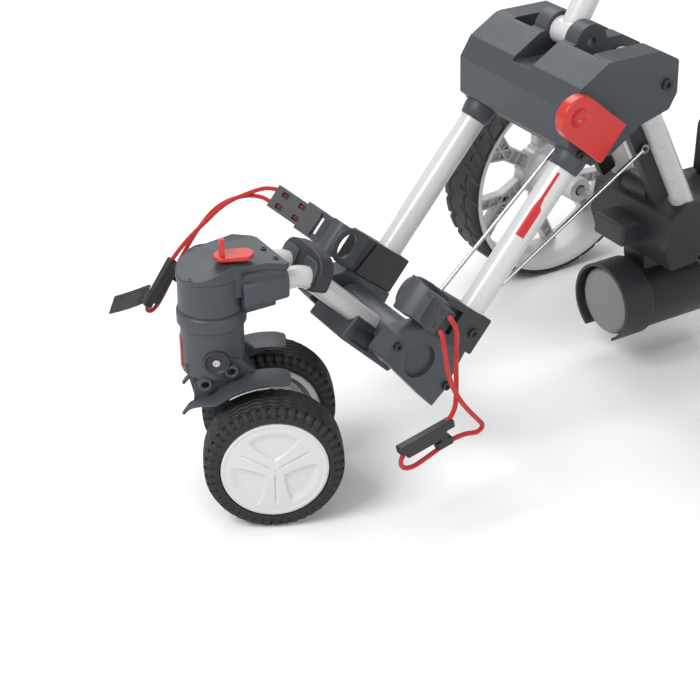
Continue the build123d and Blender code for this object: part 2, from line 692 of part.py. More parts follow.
# ---------------------------------------------------------------- elastic cords
CORD_LEFT = [
    (186, -486.4, 248.7), (195, -490, 251.5), (200, -491, 242), (201, -489, 228), (200, -485, 207),
    (199, -477, 184), (198, -465, 162), (196.5, -450, 142), (195, -438, 128), (194.5, -430.5, 118),
    (194, -438, 111), (193.5, -453, 115), (193, -471, 113.5), (192.5, -489, 106), (192, -506, 99),
    (192, -521, 94), (192, -533, 96), (192, -538, 106), (192, -532, 117), (192, -519, 123.5),
    (192, -504, 127), (191.5, -489, 131), (191, -475, 138), (190, -466.5, 149), (189, -465, 164),
    (189, -465.5, 181), (190, -467, 202), (192, -469.5, 225), (195, -471, 243), (199, -475, 256),
    (196, -479, 265), (186, -475, 262.7),
]
CORD_RIGHT = [
    (-186, -475, 262.7), (-196, -484, 264), (-206, -496, 259), (-213, -509, 253), (-219, -524, 247),
    (-222, -539, 238.5), (-224, -554, 226), (-225, -568, 216), (-226, -583, 204), (-227, -597, 190),
    (-228, -610, 174), (-229, -620, 159), (-230, -630, 143), (-230, -637, 130), (-230, -641, 120),
    (-230, -634, 116.5), (-230, -625, 124), (-230, -617, 135.5), (-230, -608, 150), (-231, -598, 166),
    (-232, -585, 185), (-232, -572, 203), (-231, -559, 219), (-229, -545, 234), (-225, -529, 244),
    (-219, -514, 249), (-211, -501, 251.5), (-202, -492, 251), (-194, -488.5, 250.5), (-186, -486.4, 248.7),
]


def corner_radii(points):
    """The largest tangent arcs that the runs allow."""
    radii = []
    for before, here, after in zip(points, points[1:], points[2:]):
        first, second = Vector(*here) - Vector(*before), Vector(*after) - Vector(*here)
        turn = first.get_angle(second)
        radii.append(0.45 * min(first.length, second.length) / tan(radians(turn / 2)))
    return radii


def cord_tube(points, name):
    """Straight runs joined by tangent arcs, with a round section."""
    radii = corner_radii(points)
    path = FilletPolyline(*points, radius=radii)
    start = Plane(origin=points[0], z_dir=Vector(*points[1]) - Vector(*points[0]))
    tube = sweep(start * Circle(CORD_R), path=path)
    ratio = tube.volume / (pi * CORD_R ** 2 * path.length)
    print(name, "length", round(path.length), "volume ratio", round(ratio, 4))
    print("   radii", [round(radius, 1) for radius in radii])
    return tube


def hook_pieces(front, rear, blade_out, x):
    """Hook channel, its blade and two ferrules, in the plane of the cord's loop."""
    axis = Vector(0, rear[0] - front[0], rear[1] - front[1])
    length = axis.length
    frame = Plane(origin=(x, *front), x_dir=(1, 0, 0), z_dir=axis)
    channel = Pos(0, 0, length / 2) * soften(Box(11, 10, length), 2)
    blade = Pos(0, blade_out * 9, length * 0.42) * soften(Box(9, 9, length * 0.62), 2)
    bridge = Pos(0, blade_out * 11, length * 0.78) * soften(Box(9, 18, 10), 2)
    ferrule = Pos(0, blade_out * 20, length * 0.78) * soften(Box(11, 10, 20), 2)
    return frame * (channel + blade + bridge + ferrule)


def webbing_tab():
    """Flat webbing loop that hangs on the far hook."""
    outline = [(-640, 151), (-684, 155), (-690, 129), (-648, 133)]
    return prism_x(outline, -226.2, -224.2)


def write_cords():
    cords = cord_tube(CORD_LEFT, "elastic_cord_left"), cord_tube(CORD_RIGHT, "elastic_cord_right")
    hooks = (hook_pieces((-540, 121), (-471, 136), 1, 192), hook_pieces((-641, 126), (-602, 182), 1, -229))
    plates = anchor_plate(), mirrored(anchor_plate())
    for cord, hook, plate, name in zip(cords, hooks, plates, ("left", "right")):
        save(f"elastic_cord_{name}", cord)
        save(f"cord_hook_{name}", hook - cord)
        save(f"anchor_plate_{name}", plate - cord)
    save("webbing_tab", webbing_tab() - hooks[1] - cords[1])


def write_front():
    save("front_yoke", YOKE_PLACE * front_yoke())
    save("yoke_trim", YOKE_PLACE * yoke_trim())
    save("front_axle", YOKE_PLACE * front_axle())
    save("fender_left", YOKE_PLACE * fender())
    save("fender_right", YOKE_PLACE * mirrored(fender()))
    save("head_shell", head_shell())
    save("kingpin", kingpin())
    save("lock_pin", lock_pin())
    save("swivel_lever", swivel_lever())
    tubes = fork_tube(1), fork_tube(-1)
    bore = rod_x(-100, 100, *FOLD, PIN_R + FIT)
    save("fork_tube_left", tubes[0] - bore)
    save("fork_tube_right", tubes[1] - bore)
    save("tube_clip", tube_clip() - tubes[0] - tubes[1])
    save("fork_carrier", fork_carrier())


def write_frame():
    save("hub_end_left", hub_end() + link_guide())
    save("hub_end_right", mirrored(hub_end()))
    save("release_rod", release_rod())
    save("hinge_pins", hinge_pins())
    save("frame_bolts", frame_bolts())
    save_pair("clamp_block", clamp_block())
    save_pair("side_tube", side_tube())
    save_pair("bag_arm", bag_arm())
    save("upper_hub", upper_hub())
    save("latch_lever", latch_lever())


def write_mast():
    save("mast_tube", mast_tube())
    save("upper_bag_rest", upper_bag_rest())
    save("handle_bar", handle_bar())
    save("control_pod", control_pod())
    save("speed_dial", speed_dial())
    save("power_button", power_button())


def write_rear():
    save_pair("rear_leg", rear_leg())
    save("leg_channels", leg_channels())
    save("fold_rod", fold_rod())
    save("rear_body", rear_body())
    save("gearbox_case", gearbox_case())
    save("motor_can", motor_can())
    save("motor_end_bell", motor_end_bell())
    save("motor_collar", motor_collar())
    save("worm_shaft", worm_shaft())
    save("worm_wheel", worm_wheel())
    save("rear_axle", rear_axle())
    save("battery_pack", battery_pack())


front_wheels()
rear_wheels()
write_front()
write_frame()
write_mast()
write_rear()
write_cords()
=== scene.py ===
"""Looks of the electric golf trolley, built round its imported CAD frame. Metres, in the row frame."""

from math import atan2, ceil, cos, hypot, pi, radians, sin, tau

import bmesh
import bpy
from mathutils import Matrix, Vector


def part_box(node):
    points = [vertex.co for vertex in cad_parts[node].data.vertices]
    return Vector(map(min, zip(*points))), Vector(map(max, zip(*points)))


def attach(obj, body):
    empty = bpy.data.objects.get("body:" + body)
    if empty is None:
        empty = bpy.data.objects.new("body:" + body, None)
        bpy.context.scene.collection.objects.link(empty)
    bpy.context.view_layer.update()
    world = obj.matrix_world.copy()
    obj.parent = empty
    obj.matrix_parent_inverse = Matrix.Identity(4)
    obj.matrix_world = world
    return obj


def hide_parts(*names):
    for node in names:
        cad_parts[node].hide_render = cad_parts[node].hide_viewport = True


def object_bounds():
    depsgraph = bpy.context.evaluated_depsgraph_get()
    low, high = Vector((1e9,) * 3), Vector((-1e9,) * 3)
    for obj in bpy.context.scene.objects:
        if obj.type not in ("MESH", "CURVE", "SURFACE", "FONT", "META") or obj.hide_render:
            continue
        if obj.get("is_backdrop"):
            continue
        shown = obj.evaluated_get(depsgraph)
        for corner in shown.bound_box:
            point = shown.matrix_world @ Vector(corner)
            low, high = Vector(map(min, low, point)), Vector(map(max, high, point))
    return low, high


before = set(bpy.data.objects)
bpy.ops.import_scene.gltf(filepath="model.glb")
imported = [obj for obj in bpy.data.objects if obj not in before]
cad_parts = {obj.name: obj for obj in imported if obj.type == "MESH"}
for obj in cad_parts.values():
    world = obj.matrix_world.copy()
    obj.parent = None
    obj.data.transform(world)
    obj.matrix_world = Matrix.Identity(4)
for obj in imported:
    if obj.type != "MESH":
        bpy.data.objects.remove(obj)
cad_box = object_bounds()

MM = 0.001


def middle(node):
    low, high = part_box(node)
    return (low + high) / 2


AXLE_Y = middle("rear_axle").y


def at(x, y, z):
    """A point of the trolley's own plan, in mm from the ground under the rear axle's middle."""
    return Vector((x * MM, y * MM + AXLE_Y, z * MM))


# ---------------------------------------------------------------- the trolley's main lines
SIDE_X = 87.5             # side tubes: place, radius, foot (y, z) and slope
SIDE_R = 15.5
SIDE_FOOT = (-374.0, 200.0)
SIDE_ANGLE = radians(50.95)
STEER = radians(-25.4)    # the front yoke's turn at rest
SWIVEL_Y = -661.0
TRAIL = 61.5              # front axle behind the steering axis
FRONT_R, FRONT_HALF = 78.0, 26.0      # each wheel's radius and half width
REAR_R, REAR_HALF = 150.0, 38.0
SIDES = (("left", 1), ("right", -1))


def side_place(along, out, x=0.0):
    """A point along the side tubes and out along their normal, which points forward and up."""
    y = SIDE_FOOT[0] + along * cos(SIDE_ANGLE) - out * sin(SIDE_ANGLE)
    z = SIDE_FOOT[1] + along * sin(SIDE_ANGLE) + out * cos(SIDE_ANGLE)
    return at(x, y, z)


def aimed(place, direction):
    """Axes at a place, with X along a direction."""
    return Matrix.Translation(place) @ Vector(direction).to_track_quat("X", "Z").to_matrix().to_4x4()


# ---------------------------------------------------------------- camera
CAMERA_AT = (1367.0, -1308.0, 1076.0)     # in the trolley's plan
AZIMUTH, ELEVATION = radians(58.98), radians(26.96)
LENS, SENSOR = 81.24, 36.0
SHIFT = (0.0015, -0.1439)


def make_camera():
    data = bpy.data.cameras.new("camera")
    data.lens = LENS
    data.sensor_width = SENSOR
    data.shift_x, data.shift_y = SHIFT
    camera = bpy.data.objects.new("camera", data)
    bpy.context.scene.collection.objects.link(camera)
    right = Vector((cos(AZIMUTH), sin(AZIMUTH), 0))
    back = Vector((sin(AZIMUTH) * cos(ELEVATION), -cos(AZIMUTH) * cos(ELEVATION), sin(ELEVATION)))
    turn = Matrix((right, back.cross(right), back)).transposed().to_4x4()
    camera.matrix_world = Matrix.Translation(at(*CAMERA_AT)) @ turn
    bpy.context.scene.camera = camera


make_camera()


# ---------------------------------------------------------------- materials
def mapped(nodes, links, value, low, high):
    """A map range from 0..1 to low..high."""
    node = nodes.new("ShaderNodeMapRange")
    node.inputs["To Min"].default_value = low
    node.inputs["To Max"].default_value = high
    links.new(value, node.inputs["Value"])
    return node.outputs["Result"]


def noise(nodes, links, coords, scale, detail=4.0, rough=0.55):
    """Fractal noise from 0 to 1, its scale per metre."""
    node = nodes.new("ShaderNodeTexNoise")
    node.inputs["Scale"].default_value = scale
    node.inputs["Detail"].default_value = detail
    node.inputs["Roughness"].default_value = rough
    links.new(coords, node.inputs["Vector"])
    return node.outputs["Fac"]


def mixed(nodes, links, factor, a, b):
    """A blend of two colours, each a tuple or a socket."""
    node = nodes.new("ShaderNodeMix")
    node.data_type = "RGBA"
    links.new(factor, node.inputs["Factor"])
    for socket, value in (("A", a), ("B", b)):
        target = [i for i in node.inputs if i.name == socket and i.type == "RGBA"][0]
        if isinstance(value, tuple):
            target.default_value = (*value, 1.0)
        else:
            links.new(value, target)
    return [o for o in node.outputs if o.type == "RGBA"][0]


def combined(nodes, links, operation, a, b):
    """Two values through one maths operation."""
    node = nodes.new("ShaderNodeMath")
    node.operation = operation
    links.new(a, node.inputs[0])
    links.new(b, node.inputs[1])
    return node.outputs["Value"]


FLAT_DOT, EDGE_DOT = 0.99, 0.80           # rounded normal against true normal
COAT_ROUGHNESS = 0.12
SCRAPE_SCALE, DUST_SCALE = 160.0, 45.0    # noise scales per metre
MOST_DUST = 0.35
WEAVE_WOBBLE = 0.6


def edge_mask(nodes, links, width):
    """1 near sharp edges and 0 on the flats, with the rounded normal that finds them."""
    bevel = nodes.new("ShaderNodeBevel")
    bevel.samples = 4
    bevel.inputs["Radius"].default_value = width
    geometry = nodes.new("ShaderNodeNewGeometry")
    dot = nodes.new("ShaderNodeVectorMath")
    dot.operation = "DOT_PRODUCT"
    links.new(bevel.outputs["Normal"], dot.inputs[0])
    links.new(geometry.outputs["Normal"], dot.inputs[1])
    node = nodes.new("ShaderNodeMapRange")
    node.inputs["From Min"].default_value = FLAT_DOT
    node.inputs["From Max"].default_value = EDGE_DOT
    links.new(dot.outputs["Value"], node.inputs["Value"])
    return node.outputs["Result"], bevel.outputs["Normal"]


def material(name, colour, rough, metal=0.0, coat=0.0, sheen=0.0, spread=0.12, patch=14.0,
             grain=1400.0, bump=0.25, depth=0.0002, edge=0.0008, wear=None, dust=None, weave=0.0):
    """A procedural finish: patchy colour and gloss, fine grain, soft edges, worn edges and dust."""
    mat = bpy.data.materials.new(name)
    mat.use_nodes = True
    nodes, links = mat.node_tree.nodes, mat.node_tree.links
    shader = nodes["Principled BSDF"]
    shader.inputs["Metallic"].default_value = metal
    shader.inputs["Coat Weight"].default_value = coat
    shader.inputs["Coat Roughness"].default_value = COAT_ROUGHNESS
    shader.inputs["Sheen Weight"].default_value = sheen
    coords = nodes.new("ShaderNodeTexCoord").outputs["Object"]
    blotch = noise(nodes, links, coords, patch, 6.0)
    dark = tuple(c * (1 - spread) for c in colour)
    light = tuple(min(1.0, c * (1 + spread)) for c in colour)
    tone = mixed(nodes, links, blotch, dark, light)
    worn, soft_normal = edge_mask(nodes, links, edge)
    if wear:
        scrapes = noise(nodes, links, coords, SCRAPE_SCALE, 5.0, 0.7)
        tone = mixed(nodes, links, combined(nodes, links, "MULTIPLY", worn, scrapes), tone, wear)
    if dust:
        up = nodes.new("ShaderNodeSeparateXYZ")
        links.new(nodes.new("ShaderNodeNewGeometry").outputs["Normal"], up.inputs[0])
        upward = mapped(nodes, links, up.outputs["Z"], 0.0, MOST_DUST)
        drifts = noise(nodes, links, coords, DUST_SCALE, 6.0, 0.65)
        tone = mixed(nodes, links, combined(nodes, links, "MULTIPLY", upward, drifts), tone, dust)
    links.new(tone, shader.inputs["Base Color"])
    gloss = noise(nodes, links, coords, patch * 3.0, 5.0)
    links.new(mapped(nodes, links, gloss, rough * 0.8, min(1.0, rough * 1.2)), shader.inputs["Roughness"])
    height = noise(nodes, links, coords, grain, 2.0)
    if weave:
        for axis in ("X", "Z"):
            wave = nodes.new("ShaderNodeTexWave")
            wave.bands_direction = axis
            wave.inputs["Scale"].default_value = weave
            wave.inputs["Distortion"].default_value = WEAVE_WOBBLE
            links.new(coords, wave.inputs["Vector"])
            height = combined(nodes, links, "ADD", height, wave.outputs["Fac"])
    relief = nodes.new("ShaderNodeBump")
    relief.inputs["Strength"].default_value = bump
    relief.inputs["Distance"].default_value = depth
    links.new(height, relief.inputs["Height"])
    links.new(soft_normal, relief.inputs["Normal"])
    links.new(relief.outputs["Normal"], shader.inputs["Normal"])
    return mat


SCUFF = (0.11, 0.12, 0.13)    # grey plastic's worn edges
LOOKS = {                       # each a colour, a roughness, and what sets it apart
    "white_paint": material("white_paint", (0.56, 0.555, 0.56), 0.28, coat=0.5, spread=0.02, grain=500,
                            bump=0.05, wear=(0.42, 0.41, 0.40)),
    "slate": material("slate_plastic", (0.040, 0.047, 0.056), 0.46, spread=0.10, bump=0.35, wear=SCUFF,
                      dust=(0.060, 0.067, 0.075)),
    "slate_smooth": material("slate_satin", (0.044, 0.053, 0.066), 0.36, spread=0.08, bump=0.15, wear=SCUFF),
    "charcoal": material("charcoal_plastic", (0.020, 0.023, 0.027), 0.50, spread=0.12, bump=0.4, wear=SCUFF,
                         dust=(0.04, 0.042, 0.045)),
    "black_plastic": material("black_plastic", (0.012, 0.012, 0.014), 0.42, spread=0.15, bump=0.4,
                              wear=(0.09, 0.09, 0.09)),
    "red_plastic": material("red_plastic", (0.52, 0.014, 0.010), 0.36, coat=0.3, spread=0.05, bump=0.12,
                            wear=(0.62, 0.10, 0.08)),
    "red_print": material("red_print", (0.46, 0.010, 0.014), 0.32, coat=0.4, spread=0.04, bump=0.05),
    "wheel_white": material("wheel_white", (0.58, 0.578, 0.58), 0.34, coat=0.3, spread=0.03, bump=0.08,
                            edge=0.0012, wear=(0.44, 0.43, 0.42)),
    "tread_rubber": material("tread_rubber", (0.007, 0.007, 0.0075), 0.62, spread=0.25, grain=900, bump=0.5,
                             depth=0.0003, wear=(0.035, 0.035, 0.035), dust=(0.028, 0.027, 0.026)),
    "steel": material("steel", (0.52, 0.52, 0.54), 0.34, metal=1.0, spread=0.08, grain=2500, bump=0.2),
    "chrome": material("chrome_rod", (0.42, 0.43, 0.45), 0.16, metal=1.0, spread=0.03, grain=2500, bump=0.04),
    "bronze": material("bronze", (0.55, 0.36, 0.14), 0.38, metal=1.0, spread=0.12, bump=0.2),
    "cast_grey": material("cast_grey", (0.22, 0.215, 0.215), 0.55, metal=0.25, spread=0.08, grain=700,
                          bump=0.5, wear=(0.4, 0.4, 0.4)),
    "motor_gloss": material("motor_gloss", (0.008, 0.009, 0.012), 0.10, coat=1.0, spread=0.1, bump=0.03),
    "cord_red": material("cord_red", (0.52, 0.008, 0.006), 0.50, sheen=0.08, spread=0.18, patch=180.0,
                         grain=1500, bump=0.7, depth=0.0004, weave=420.0),
    "webbing": material("webbing", (0.014, 0.014, 0.016), 0.80, sheen=0.5, spread=0.25, patch=60.0,
                        grain=1800, bump=0.9, depth=0.0005, weave=520.0),
    "grip_rubber": material("grip_rubber", (0.020, 0.021, 0.023), 0.66, spread=0.15, grain=1100, bump=0.6,
                            wear=(0.07, 0.07, 0.07)),
}

LOOK_NODES = {
    "white_paint": "side_tube fork_tube rear_leg mast_tube",
    "cord_red": "elastic_cord",
    "black_plastic": "cord_hook frame_bolts leg_channels gearbox_case battery_pack",
    "webbing": "webbing_tab",
    "charcoal": "anchor_plate motor_collar rear_body clamp_block tube_clip",
    "slate_smooth": "fork_carrier",
    "steel": "hinge_pins kingpin lock_pin front_axle rear_axle worm_shaft",
    "bronze": "worm_wheel",
    "chrome": "fold_rod release_rod",
    "red_plastic": "latch_lever swivel_lever yoke_trim speed_dial power_button",
    "motor_gloss": "motor_can",
    "cast_grey": "motor_end_bell",
    "grip_rubber": "handle_bar",
    "tread_rubber": "front_tyre rear_tyre",
    "wheel_white": "front_rim rear_rim",
}    # every other node is slate
NODE_LOOKS = {stem: look for look, stems in LOOK_NODES.items() for stem in stems.split()}


def look_of(node):
    stem = node.rsplit("_", 1)[0] if node.endswith(("_left", "_right")) else node
    return LOOKS[NODE_LOOKS.get(stem, "slate")]


for name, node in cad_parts.items():
    node.data.materials.clear()
    node.data.materials.append(look_of(name))


# ---------------------------------------------------------------- building helpers
SHARP_ANGLE = 35.0        # degrees; smooth shading breaks above it


def smooth(mesh_object, angle):
    """Smooth shading, kept sharp at edges over the angle."""
    for face in mesh_object.data.polygons:
        face.use_smooth = True
    mesh_object.data.set_sharp_from_angle(angle=radians(angle))


def piece(name, verts, faces, look, body, slot, place=None, soft=SHARP_ANGLE):
    """A mesh object in the row frame, riding on a body."""
    mesh = bpy.data.meshes.new(name)
    mesh.from_pydata([tuple(v) for v in verts], [], faces)
    made = bpy.data.objects.new(name, mesh)
    bpy.context.scene.collection.objects.link(made)
    mesh.materials.append(LOOKS[look])
    fix = bmesh.new()
    fix.from_mesh(mesh)
    bmesh.ops.recalc_face_normals(fix, faces=fix.faces)
    fix.to_mesh(mesh)
    fix.free()
    smooth(made, soft)
    if place is not None:
        made.matrix_world = place
    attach(made, body)
    return made


def rounded(made, width, segments=3, angle=30.0):
    """Rounded edges by a bevel, applied when the scene is evaluated."""
    bevel = made.modifiers.new("rounding", "BEVEL")
    bevel.width = width * MM
    bevel.segments = segments
    bevel.limit_method = "ANGLE"
    bevel.angle_limit = radians(angle)
    bevel.harden_normals = True
    return made


def spread_out(loop, step):
    """The closed outline with points no further apart than step."""
    points = []
    for (x0, r0), (x1, r1) in zip(loop, loop[1:] + loop[:1]):
        count = max(1, ceil(hypot(x1 - x0, r1 - r0) / step))
        points += [(x0 + (x1 - x0) * k / count, r0 + (r1 - r0) * k / count) for k in range(count)]
    return points


def lathe(name, loop, steps, look, body, slot, place, shift=None, soft=SHARP_ANGLE):
    """A closed (x, r) outline in mm spun about X; shift(x, r, turn) moves its points."""
    verts, faces, count = [], [], len(loop)
    for i in range(steps):
        turn = tau * i / steps
        for x, r in loop:
            if shift:
                x, r = shift(x, r, turn)
            verts.append((x * MM, r * cos(turn) * MM, r * sin(turn) * MM))
    for i in range(steps):
        for j in range(count):
            a, b = i * count + j, i * count + (j + 1) % count
            c, d = ((i + 1) % steps) * count + (j + 1) % count, ((i + 1) % steps) * count + j
            faces.append((a, b, c, d))
    return piece(name, verts, faces, look, body, slot, place, soft)


def step_up(value, start, end):
    """0 before start, 1 after end, smooth between."""
    t = min(1.0, max(0.0, (value - start) / (end - start)))
    return t * t * (3 - 2 * t)


BLOCK_QUADS = ((0, 1, 3, 2), (4, 6, 7, 5), (0, 4, 5, 1), (2, 3, 7, 6), (0, 2, 6, 4), (1, 5, 7, 3))


def add_block(verts, faces, size, put):
    """One block more in a mesh; put moves each corner, given in mm from the block's middle."""
    first = len(verts)
    for sx in (-0.5, 0.5):
        for sy in (-0.5, 0.5):
            for sz in (-0.5, 0.5):
                verts.append(put(Vector((sx * size[0], sy * size[1], sz * size[2]))) * MM)
    faces += [tuple(first + k for k in quad) for quad in BLOCK_QUADS]


# ---------------------------------------------------------------- elastic cords
CORD_WIDTH = 5.4
CORD_LEFT = [
    (186, -486.4, 248.7), (195, -490, 251.5), (200, -491, 242), (201, -489, 228), (200, -485, 207),
    (199, -477, 184), (198, -465, 162), (196.5, -450, 142), (195, -438, 128), (194.5, -430.5, 118),
    (194, -438, 111), (193.5, -453, 115), (193, -471, 113.5), (192.5, -489, 106), (192, -506, 99),
    (192, -521, 94), (192, -533, 96), (192, -538, 106), (192, -532, 117), (192, -519, 123.5),
    (192, -504, 127), (191.5, -489, 131), (191, -475, 138), (190, -466.5, 149), (189, -465, 164),
    (189, -465.5, 181), (190, -467, 202), (192, -469.5, 225), (195, -471, 243), (199, -475, 256),
    (196, -479, 265), (186, -475, 262.7),
]
CORD_RIGHT = [
    (-186, -475, 262.7), (-196, -484, 264), (-206, -496, 259), (-213, -509, 253), (-219, -524, 247),
    (-222, -539, 238.5), (-224, -554, 226), (-225, -568, 216), (-226, -583, 204), (-227, -597, 190),
    (-228, -610, 174), (-229, -620, 159), (-230, -630, 143), (-230, -637, 130), (-230, -641, 120),
    (-230, -634, 116.5), (-230, -625, 124), (-230, -617, 135.5), (-230, -608, 150), (-231, -598, 166),
    (-232, -585, 185), (-232, -572, 203), (-231, -559, 219), (-229, -545, 234), (-225, -529, 244),
    (-219, -514, 249), (-211, -501, 251.5), (-202, -492, 251), (-194, -488.5, 250.5), (-186, -486.4, 248.7),
]


def make_cord(name, points):
    """A round elastic cord along the points."""
    data = bpy.data.curves.new(name, "CURVE")
    data.dimensions = "3D"
    spline = data.splines.new("NURBS")
    spline.points.add(len(points) - 1)
    for target, point in zip(spline.points, points):
        target.co = (*at(*point), 1.0)
    spline.order_u = 3
    spline.use_endpoint_u = True
    data.resolution_u = 8
    data.bevel_depth = CORD_WIDTH / 2 * MM
    data.bevel_resolution = 5
    data.use_fill_caps = True
    data.materials.append(LOOKS["cord_red"])
    made = bpy.data.objects.new(name, data)
    bpy.context.scene.collection.objects.link(made)
    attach(made, "frame")
    at(*points[0])
    return made


cord_left = make_cord("bag_cord_left", CORD_LEFT)
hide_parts("elastic_cord_left")
cord_right = make_cord("bag_cord_right", CORD_RIGHT)
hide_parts("elastic_cord_right")


STITCH_ROWS, STITCHES = (0.16, 0.24), 9      # rows along the strap, and stitches in a row
STITCH_SIZE = (1.0, 0.7, 1.8)


def make_webbing():
    """The woven pull tab: a doubled strap, folded at its free end, with its cut end stitched down."""
    x, root, tip = -225.0, (-640.0, 146.0), (-688.5, 143.0)
    across = Vector((0, 10.0, 24.0)).normalized() * 12.0
    columns, rows, half = 30, 10, 1.1
    rim = [(k / columns, half) for k in range(columns + 1)]
    rim += [(1 - k / columns, -half) for k in range(1, columns)]
    verts, faces = [], []
    for t, side in rim:
        bow = 2.2 * sin(pi * t) * (1 if side > 0 else 0.6)
        for j in range(rows + 1):
            s = 2 * j / rows - 1
            centre = Vector((x + side * (1.0 + 0.5 * sin(pi * t)) + bow + 0.5 * s * sin(3 * t),
                             root[0] + (tip[0] - root[0]) * t, root[1] + (tip[1] - root[1]) * t))
            point = centre + across * s * (1 - 0.05 * t)
            verts.append(at(*point))
    count, wide = len(rim), rows + 1
    for i in range(count):
        for j in range(rows):
            a, b = i * wide + j, ((i + 1) % count) * wide + j
            faces.append((a, a + 1, b + 1, b))
    made = piece("pull_tab", verts, faces, "webbing", "frame", "webbing")
    thick = made.modifiers.new("cloth", "SOLIDIFY")
    thick.thickness = 0.0009
    thick.offset = 0
    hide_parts("webbing_tab")
    verts, faces = [], []
    for row in STITCH_ROWS:
        for j in range(STITCHES):
            centre = across * (-0.8 + 0.2 * j)
            centre += Vector((0, root[0] + (tip[0] - root[0]) * row, root[1] + (tip[1] - root[1]) * row))
            add_block(verts, faces, STITCH_SIZE, lambda corner, c=centre: c + corner)
    for side in (-1, 1):
        place = Matrix.Translation(at(x + side * 2.6 + 0.8, 0, 0))
        thread = piece(f"tab_stitch_{'in' if side > 0 else 'out'}", verts, faces, "grip_rubber", "frame",
                       "webbing", place)
        rounded(thread, 0.25)


make_webbing()


# ---------------------------------------------------------------- wheels
def wheel_place(node, side, steer=0.0):
    """The wheel's own axes: X out of its outer face, origin in the wheel's middle."""
    turn = steer + (0.0 if side > 0 else pi)
    return Matrix.Translation(middle(node)) @ Matrix.Rotation(turn, 4, "Z")


def notch(phase, low, high, soft=0.08):
    """1 inside a notch of a repeating pattern, 0 outside."""
    phase %= 1.0
    return step_up(phase, low - soft, low + soft) * (1 - step_up(phase, high - soft, high + soft))


FRONT_GROOVES = (-14, -7.2, 0, 7.2, 14)   # places across the tread
FRONT_WAVES, FRONT_BARS = 30, 44          # counts round the tyre
REAR_CHEVRONS = 30


FRONT_CUT, SHOULDER_CUT, REAR_CUT = 2.4, 2.6, 3.4      # depths of the treads' grooves
SHOULDER_R = 63.0                         # the shoulder bars start here
CHEVRON_SLANT = 0.018                     # turn of a chevron per mm across, in chevrons


def front_tread(x, r, turn):
    """Wavy ribs round the tread, and bars on the shoulders."""
    wave = 1.3 * sin(FRONT_WAVES * turn)
    if r > FRONT_R - 4.5 and abs(x) < FRONT_HALF - 7:
        groove = max(step_up(1.5 - abs(x - wave - middle_x), 0, 0.9) for middle_x in FRONT_GROOVES)
        r -= FRONT_CUT * groove
    elif r > SHOULDER_R:
        bar = notch(FRONT_BARS * turn / tau, 0.32, 0.68, 0.08)
        fade = step_up(r, 65, 67)
        x -= (1 if x > 0 else -1) * SHOULDER_CUT * bar * fade
        r -= 1.6 * bar * step_up(r, 71, 75.5)
    return x, r


def rear_tread(x, r, turn):
    """Chevron blocks: slanted grooves from each shoulder, joined by two rings."""
    if r > REAR_R - 9 and abs(x) < REAR_HALF:
        side = 1 if x > 0 else -1
        slant = REAR_CHEVRONS * turn / tau + CHEVRON_SLANT * abs(x) + (0.5 if side > 0 else 0.0)
        cut = notch(slant, 0.40, 0.60, 0.06) * step_up(abs(x), 5, 8)
        ring = step_up(1.6 - abs(abs(x) - 17 - 2 * sin(REAR_CHEVRONS * turn)), 0, 0.8)
        r -= REAR_CUT * max(cut, 0.8 * ring) * step_up(r, REAR_R - 8, REAR_R - 3)
    return x, r


def make_front_tyre(name, side):
    """Ribbed tyre spun from its outline, with the tread pressed into it."""
    half = FRONT_HALF
    loop = [(-half + 6, 59.5), (-half + 0.5, 61), (-half, 64), (-half + 0.8, 71), (-half + 3.5, 75.5),
            (-half + 8, FRONT_R - 0.7), (-8, FRONT_R), (8, FRONT_R), (half - 8, FRONT_R - 0.7),
            (half - 3.5, 75.5), (half - 0.8, 71), (half, 64), (half - 0.5, 61), (half - 6, 59.5)]
    place = wheel_place(f"front_tyre_{name}", side, STEER)
    made = lathe(f"front_tread_{name}", spread_out(loop, 0.9), 360, "tread_rubber",
                 f"front_wheel_{name}", "tread_rubber", place, front_tread, 60)
    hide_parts(f"front_tyre_{name}")


def make_rear_tyre(name, side):
    """Low tyre spun from its outline, with the chevrons pressed into it."""
    half = REAR_HALF
    loop = [(-half + 3, 140.5), (-half, 142.5), (-half + 1, 146), (-half + 6, 148.8), (-half + 13, REAR_R),
            (half - 13, REAR_R), (half - 6, 148.8), (half - 1, 146), (half, 142.5), (half - 3, 140.5)]
    place = wheel_place(f"rear_tyre_{name}", side)
    made = lathe(f"rear_tread_{name}", spread_out(loop, 1.3), 600, "tread_rubber",
                 f"rear_wheel_{name}", "tread_rubber", place, rear_tread, 60)
    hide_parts(f"rear_tyre_{name}")


CAP_RIM, CAP_FACE = 60.0, 25.0            # the cap's radius, and its face's place across the wheel
CAP_DOME, CAP_HOLLOW, CAP_CREASE = 1.6, 3.0, 1.4
ARM_TURN = radians(-90)                   # the first arm's turn about the axle


def cap_relief(x, r, turn):
    """Three broad arms meet at the middle, with a crease along each and a hollow between them."""
    if x < FRONT_HALF - 6:
        return x, r
    third = tau / 3
    from_arm = abs(((turn - ARM_TURN + third / 2) % third) - third / 2)
    between = third / 2 - from_arm
    along = r * cos(from_arm)
    across = r * sin(from_arm)
    reach = 1 - step_up(r, 40, 50)
    crease = step_up(1.5 - across, 0, 1.5) * step_up(along, 4, 9) * (1 - step_up(along, 38, 46))
    arm_half = 9 + 0.006 * (along - 20) ** 2 + 0.16 * along
    edge = step_up(arm_half - across, -1.2, 1.2)
    hollow = (1 - edge) * reach * (0.6 + 0.4 * cos(between))
    dome = CAP_DOME * (1 - (r / CAP_RIM) ** 2)
    return x + dome - CAP_HOLLOW * hollow - CAP_CREASE * crease, r


